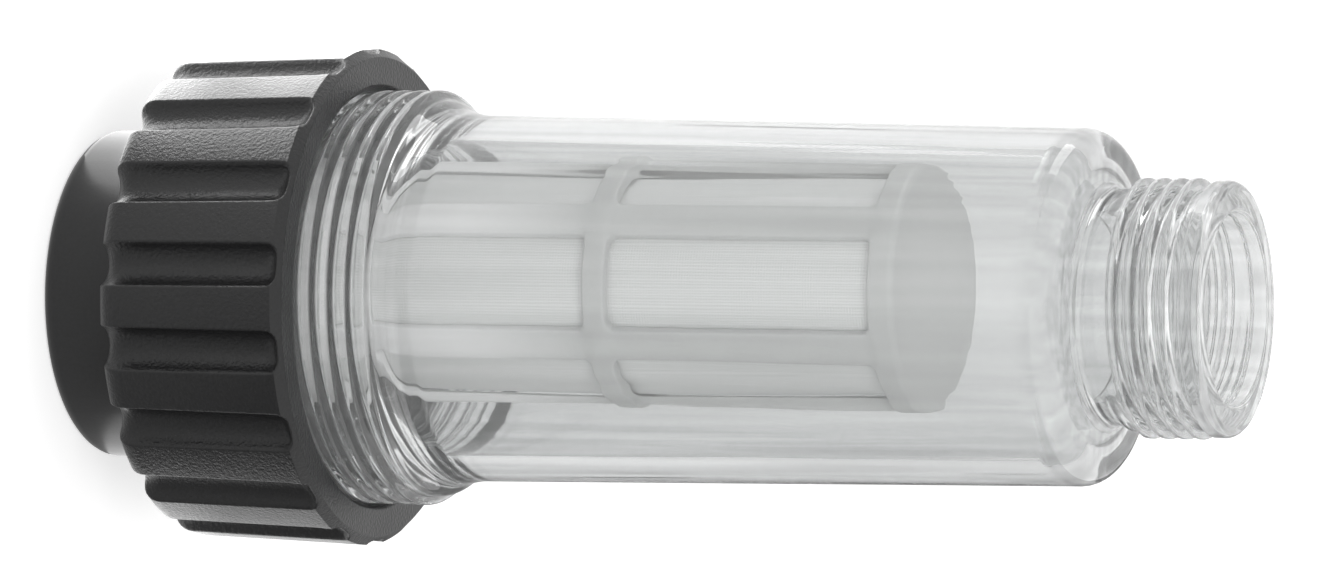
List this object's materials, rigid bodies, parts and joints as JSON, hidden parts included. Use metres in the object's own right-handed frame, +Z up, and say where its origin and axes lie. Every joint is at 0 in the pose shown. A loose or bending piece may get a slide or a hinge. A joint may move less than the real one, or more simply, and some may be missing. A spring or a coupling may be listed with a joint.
{
  "type": "water filter",
  "caption": "Clear in-line water filter: a screwed-on ribbed cap with a pipe socket, a threaded neck at the other end, and a strainer inside.",
  "frame": {"origin": "centre of the cap hub's end face, on the filter's axis", "axes": "+Z up the filter's axis from the cap's hub to the neck; +X and +Y lie across it, and the strainer stands off the axis towards -X"},
  "size_m": [0.0522, 0.0522, 0.1257],
  "materials": {
    "clear_plastic": "clear moulded plastic, polished, with faint flow marks",
    "black_plastic": "black moulded plastic, fine satin grain",
    "white_plastic": "white moulded plastic, slightly translucent",
    "nylon_gauze": "fine white nylon gauze",
    "black_rubber": "black moulded rubber"
  },
  "bodies": {
    "cap_body": {"cap": "black_plastic", "inlet_washer": "black_rubber", "strainer_frame": "white_plastic", "strainer_gauze": "nylon_gauze"},
    "seal_ring": {"housing_seal": "black_rubber"},
    "clear_housing": {"housing": "clear_plastic"}
  },
  "joints": [
    {"name": "housing_rise", "type": "slide", "parent": "cap_body", "child": "seal_ring", "axis": [0, 0, 1], "range_m": [0, 0.014]},
    {"name": "housing_turn", "type": "hinge", "parent": "seal_ring", "child": "clear_housing", "pos_m": [0, 0, 0], "axis": [0, 0, 1], "range_deg": [0, 2520]}
  ],
  "couplings": [
    {"joint": "housing_rise", "follows": "housing_turn", "m_per_rad": 0.0003183}
  ]
}
